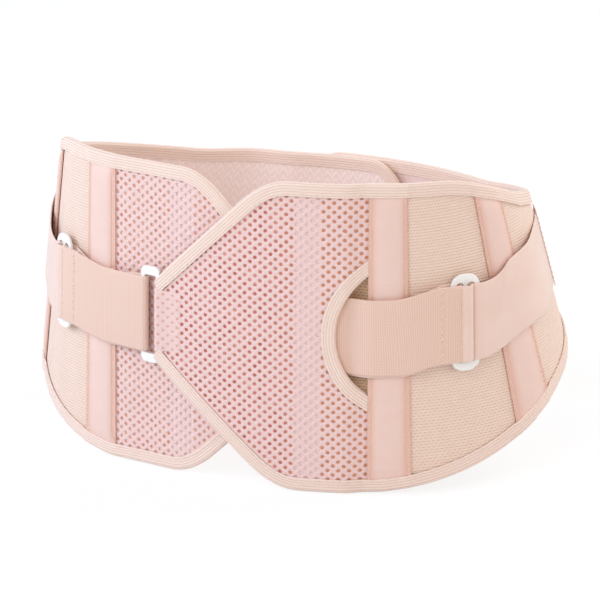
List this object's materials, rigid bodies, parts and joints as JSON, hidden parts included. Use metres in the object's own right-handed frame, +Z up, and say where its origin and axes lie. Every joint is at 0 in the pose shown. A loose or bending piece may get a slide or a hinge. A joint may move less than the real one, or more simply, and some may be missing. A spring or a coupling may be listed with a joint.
{
  "type": "lumbar support belt",
  "caption": "Lumbar support belt, closed as worn, with crossed mesh front flaps, ribbed elastic sides, stay channels, and straps through sliders and rings that tighten the flaps.",
  "frame": {"origin": "bottom centre of the bounding box of the closed belt, on the surface it stands on", "axes": "+Z up along the wearer's back, -Y towards the front where the flaps cross, +X towards the wearer's left"},
  "size_m": [0.326, 0.2232, 0.184],
  "materials": {
    "mesh": "pink spacer mesh with open holes",
    "binding": "cream ribbed elastic tape",
    "channel": "pink satin tape",
    "elastic": "beige ribbed elastic",
    "strap": "woven elastic strap",
    "lining": "knitted lining with a fine zigzag",
    "fastener": "hook and loop tape",
    "band": "white woven tape",
    "facing": "tan ribbed elastic",
    "plastic": "moulded white plastic"
  },
  "bodies": {
    "belt": {"back_panel_left": "elastic", "back_panel_right": "elastic", "back_lining_left": "lining", "back_lining_right": "lining", "back_binding_left": "binding", "back_binding_right": "binding", "hook_patch": "fastener", "loop_patch": "fastener", "side_elastic_left": "elastic", "side_elastic_right": "elastic", "side_binding_top_left": "binding", "side_binding_top_right": "binding", "side_binding_low_left": "binding", "side_binding_low_right": "binding", "side_channel_left": "channel", "side_channel_right": "channel", "side_stay_left": "plastic", "side_stay_right": "plastic", "strap_left": "strap", "strap_right": "strap", "strap_tab_left": "channel", "strap_tab_right": "channel"},
    "outer_flap": {"outer_mesh": "mesh", "outer_binding_top": "binding", "outer_binding_low": "binding", "outer_hem": "mesh", "outer_band": "band", "slot_binding": "binding", "slot_facing": "facing", "outer_channel": "channel", "outer_stay": "plastic"},
    "inner_flap": {"inner_mesh": "mesh", "inner_binding_top": "binding", "inner_binding_low": "binding", "inner_hem": "mesh", "inner_band": "band", "inner_channel": "channel", "inner_stay": "plastic"},
    "ring_left": {"ring_left": "plastic"},
    "ring_right": {"ring_right": "plastic"},
    "slider_left": {"slider_left": "plastic"},
    "slider_right": {"slider_right": "plastic"}
  },
  "joints": [
    {"name": "outer_flap_tighten", "type": "hinge", "parent": "belt", "child": "outer_flap", "pos_m": [0, 0.13639, 0.092], "axis": [0, 0, -1], "range_deg": [-0.93, 1.87], "deforming": ["strap_left", "strap_right", "side_elastic_right", "side_binding_top_right", "side_binding_low_right"]},
    {"name": "inner_flap_tighten", "type": "hinge", "parent": "belt", "child": "inner_flap", "pos_m": [0, 0.13639, 0.092], "axis": [0, 0, 1], "range_deg": [-0.93, 1.87], "deforming": ["strap_right", "side_elastic_left", "side_binding_top_left", "side_binding_low_left"]},
    {"name": "ring_left_pivot", "type": "hinge", "parent": "outer_flap", "child": "ring_left", "pos_m": [-0.04653, -0.10391, 0.094], "axis": [0.0033, 0.0171, 0.9998], "range_deg": [-8, 8], "deforming": ["strap_left"]},
    {"name": "ring_right_pivot", "type": "hinge", "parent": "inner_flap", "child": "ring_right", "pos_m": [0.04059, -0.09951, 0.094], "axis": [-0.0029, 0.0171, 0.9998], "range_deg": [-5, 5], "deforming": ["strap_right"]},
    {"name": "slider_left_travel", "type": "hinge", "parent": "outer_flap", "child": "slider_left", "pos_m": [-0.07165, -0.03191, 0.0984], "axis": [-0.156, 0.1254, -0.9798], "range_deg": [-3.8, 7.6], "deforming": ["strap_left"]},
    {"name": "slider_right_travel", "type": "hinge", "parent": "inner_flap", "child": "slider_right", "pos_m": [0.0708, -0.03285, 0.1009], "axis": [-0.1545, -0.1599, 0.975], "range_deg": [-3.8, 7.6], "deforming": ["strap_right"]}
  ],
  "couplings": [
    {"joint": "slider_left_travel", "follows": "outer_flap_tighten", "ratio": 3.94},
    {"joint": "slider_right_travel", "follows": "inner_flap_tighten", "ratio": 3.97}
  ]
}
